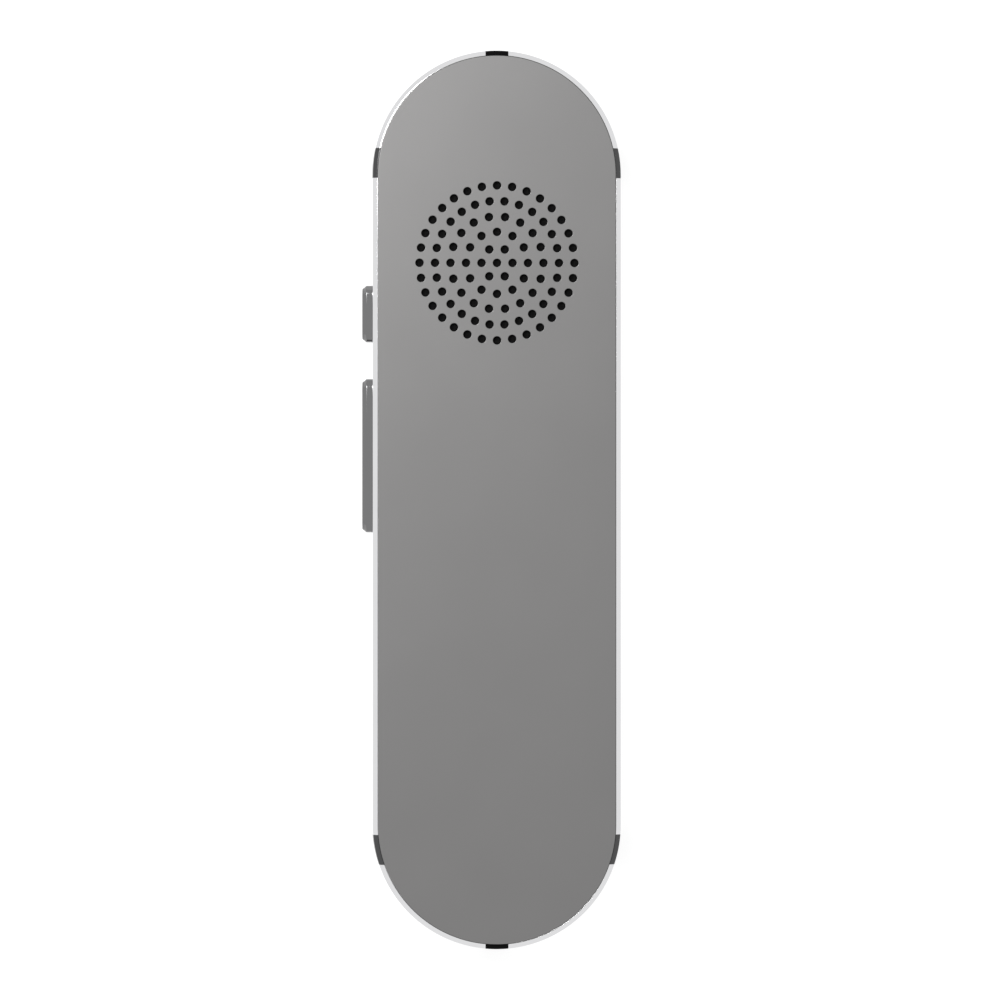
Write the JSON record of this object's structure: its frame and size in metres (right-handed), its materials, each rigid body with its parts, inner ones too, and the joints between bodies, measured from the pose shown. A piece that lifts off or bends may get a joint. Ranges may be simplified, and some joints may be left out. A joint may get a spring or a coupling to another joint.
{
  "type": "handheld translator",
  "caption": "Slim pocket translator with round ends: metal frame, perforated back plate over a loudspeaker, glass front with a round talk key, and power and volume keys on one side.",
  "frame": {"origin": "middle of the front glass's outer face, which the part lies on", "axes": "+Z out of the back plate, +Y towards the loudspeaker end, +X to the right as the back is seen with the loudspeaker end up, so the side keys are on the -X side"},
  "size_m": [0.0404, 0.14, 0.011],
  "materials": {
    "frame_metal": "polished, slightly frosted",
    "break_plastic": "fine matte",
    "plate_metal": "bead blasted and anodised grey",
    "key_metal": "polished",
    "talk_metal": "polished, dished",
    "cover_glass": "black-backed glass",
    "tape": "foam tape",
    "chassis_metal": "die cast",
    "display": "gloss",
    "flex": "satin polyimide",
    "mesh": "woven",
    "foam": "soft matte",
    "inner_plastic": "matte",
    "plated_steel": "nickel plated",
    "cone": "pressed paper and rubber",
    "copper": "bare metal",
    "board": "solder mask",
    "chip": "moulded epoxy",
    "pouch": "laminate"
  },
  "bodies": {
    "housing": {"frame_side_left": "frame_metal", "frame_side_right": "frame_metal", "frame_arc_top_left": "frame_metal", "frame_arc_top_right": "frame_metal", "frame_arc_bottom_left": "frame_metal", "frame_arc_bottom_right": "frame_metal", "break_top": "break_plastic", "break_bottom": "break_plastic", "break_upper_left": "break_plastic", "break_upper_right": "break_plastic", "break_lower_left": "break_plastic", "break_lower_right": "break_plastic", "back_plate": "plate_metal", "plate_tape": "tape", "front_glass": "cover_glass", "glass_tape": "tape", "chassis": "chassis_metal", "display_panel": "display", "display_flex": "flex", "grille_mesh": "mesh", "speaker_gasket": "foam", "speaker_holder": "inner_plastic", "speaker_basket": "plated_steel", "speaker_magnet": "plated_steel", "speaker_cone": "cone", "speaker_coil": "copper", "main_board": "board", "processor_chips": "chip", "shield_processor": "plated_steel", "radio_chips": "chip", "shield_radio": "plated_steel", "antenna_clips": "copper", "socket_board": "board", "board_flex": "flex", "battery": "pouch", "battery_tape": "tape", "battery_lead": "flex", "usb_shell": "plated_steel", "usb_tongue": "inner_plastic", "microphone_left": "copper", "microphone_right": "copper", "mic_boot_left": "foam", "mic_boot_right": "foam", "rocker_pin": "plated_steel", "side_key_bracket": "plated_steel", "side_key_flex": "flex", "power_switch": "inner_plastic", "volume_up_switch": "inner_plastic", "volume_down_switch": "inner_plastic", "talk_switch": "copper", "talk_key_pad": "foam", "screws": "plated_steel"},
    "power_key_body": {"power_key": "key_metal"},
    "volume_key_body": {"volume_key": "key_metal"},
    "talk_key_body": {"talk_key": "talk_metal"}
  },
  "joints": [
    {"name": "power_key_press", "type": "slide", "parent": "housing", "child": "power_key_body", "axis": [1, 0, 0], "range_m": [0, 0.0003], "stiffness_N_per_m": 5000},
    {"name": "volume_key_rock", "type": "hinge", "parent": "housing", "child": "volume_key_body", "pos_m": [-0.01565, 0.0069, 0.0055], "axis": [0, 0, 1], "range_deg": [-1.45, 1.45], "stiffness_Nm_per_rad": 0.42},
    {"name": "talk_key_press", "type": "slide", "parent": "housing", "child": "talk_key_body", "axis": [0, 0, 1], "range_m": [0, 0.00025], "stiffness_N_per_m": 5000}
  ]
}
